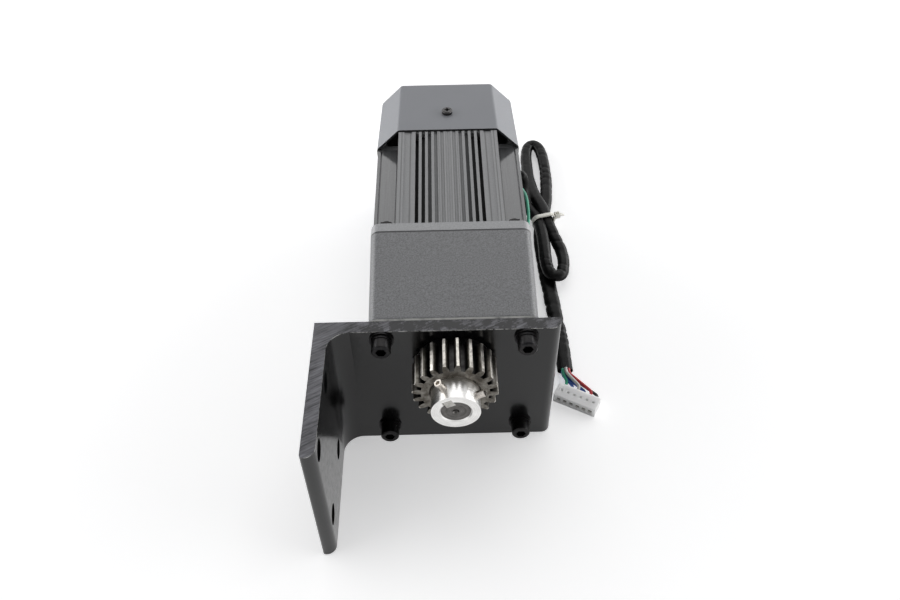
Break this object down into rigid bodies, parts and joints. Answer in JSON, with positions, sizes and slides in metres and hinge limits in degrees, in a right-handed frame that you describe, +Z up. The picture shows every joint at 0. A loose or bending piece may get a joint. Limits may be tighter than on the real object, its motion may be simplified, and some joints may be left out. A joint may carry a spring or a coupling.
{
  "type": "gear motor",
  "caption": "AC gear motor on a steel angle bracket: finned motor with fan cover, offset spur gearbox, keyed shaft with a rack pinion, and a sleeved lead ending in a plug.",
  "frame": {"origin": "on the output shaft's axis, in the middle of the drive pinion's tooth width", "axes": "+Y from the pinion back along the motor to its fan, +X to the right seen from the pinion, +Z up from the motor's axis to the output shaft"},
  "size_m": [0.1568, 0.3427, 0.0956],
  "materials": {
    "bracket_black_paint": "satin black paint over rolled steel, bright at worn edges",
    "black_oxide_steel": "black oxide, slightly oily",
    "case_grey_casting": "die-cast aluminium, grey paint with a fine grain",
    "frame_grey_extrusion": "extruded aluminium, grey finish",
    "cover_grey_paint": "satin light grey paint",
    "gear_steel": "hobbed steel, oiled",
    "hub_aluminium": "turned",
    "shaft_steel": "ground",
    "bright_screw_steel": "zinc plated",
    "bearing_steel": "ground",
    "black_rubber": "moulded",
    "sintered_bronze": "sintered",
    "lamination_steel": "stacked laminations",
    "winding_copper": "enamelled and varnished copper",
    "cage_aluminium": "die cast",
    "black_plastic": "moulded",
    "ferrite_magnet": "sintered",
    "sleeve_pvc": "soft extruded sleeve",
    "ivory_nylon": "moulded",
    "white_nylon": "moulded",
    "contact_tin": "tin plated",
    "wire_green_pvc": "extruded",
    "wire_blue_pvc": "extruded",
    "wire_white_pvc": "extruded",
    "wire_red_pvc": "extruded",
    "wire_black_pvc": "extruded"
  },
  "bodies": {
    "frame": {"angle_bracket": "bracket_black_paint", "case_screws": "black_oxide_steel", "spring_washers": "black_oxide_steel", "flat_washers": "black_oxide_steel", "case_nuts": "black_oxide_steel", "tie_bolts": "black_oxide_steel", "plate_screws": "black_oxide_steel", "cover_screws": "black_oxide_steel", "gear_case": "case_grey_casting", "motor_flange": "case_grey_casting", "case_rear_plate": "case_grey_casting", "rear_end_bracket": "case_grey_casting", "finned_frame": "frame_grey_extrusion", "fan_cover": "cover_grey_paint", "earth_screw": "bright_screw_steel", "earth_lug": "contact_tin", "preload_washer": "bearing_steel", "output_bearing_outer_rings": "bearing_steel", "motor_bearing_outer_rings": "bearing_steel", "shaft_seal": "black_rubber", "lead_grommet": "black_rubber", "idler_bushes": "sintered_bronze", "stator_core": "lamination_steel", "stator_windings": "winding_copper", "tacho_coil": "winding_copper", "cable_lead": "sleeve_pvc", "cable_hank": "sleeve_pvc", "cable_run": "sleeve_pvc", "cable_tie": "ivory_nylon", "connector_housing": "white_nylon", "connector_contacts": "contact_tin", "earth_wire": "wire_green_pvc", "wire_green": "wire_green_pvc", "wires_blue": "wire_blue_pvc", "wire_white": "wire_white_pvc", "wire_red": "wire_red_pvc", "wire_black": "wire_black_pvc"},
    "output": {"output_shaft": "shaft_steel", "output_key": "bright_screw_steel", "drive_pinion": "gear_steel", "pinion_hub": "hub_aluminium", "hub_set_screws": "bright_screw_steel", "output_gear": "gear_steel", "output_bearing_inner_rings": "bearing_steel"},
    "idler_1": {"idler_1_shaft": "shaft_steel", "idler_1_gear": "gear_steel", "idler_1_pinion": "gear_steel"},
    "idler_2": {"idler_2_shaft": "shaft_steel", "idler_2_gear": "gear_steel", "idler_2_pinion": "gear_steel"},
    "rotor": {"motor_shaft": "shaft_steel", "rotor_core": "lamination_steel", "rotor_cage": "cage_aluminium", "motor_bearing_inner_rings": "bearing_steel", "tacho_magnet": "ferrite_magnet", "cooling_fan": "black_plastic", "fan_clip": "shaft_steel"}
  },
  "joints": [
    {"name": "rotor_spin", "type": "hinge", "parent": "frame", "child": "rotor", "pos_m": [0, 0.13, -0.018], "axis": [0, 1, 0], "continuous": true},
    {"name": "idler_1_spin", "type": "hinge", "parent": "frame", "child": "idler_1", "pos_m": [0.00978, 0.055, -0.03453], "axis": [0, 1, 0], "continuous": true},
    {"name": "idler_2_spin", "type": "hinge", "parent": "frame", "child": "idler_2", "pos_m": [0.02201, 0.055, -0.01564], "axis": [0, 1, 0], "continuous": true},
    {"name": "output_spin", "type": "hinge", "parent": "frame", "child": "output", "pos_m": [0, 0, 0], "axis": [0, 1, 0], "continuous": true}
  ],
  "couplings": [
    {"joint": "idler_1_spin", "follows": "rotor_spin", "ratio": -0.33333},
    {"joint": "idler_2_spin", "follows": "rotor_spin", "ratio": 0.16667},
    {"joint": "output_spin", "follows": "rotor_spin", "ratio": -0.055556}
  ]
}
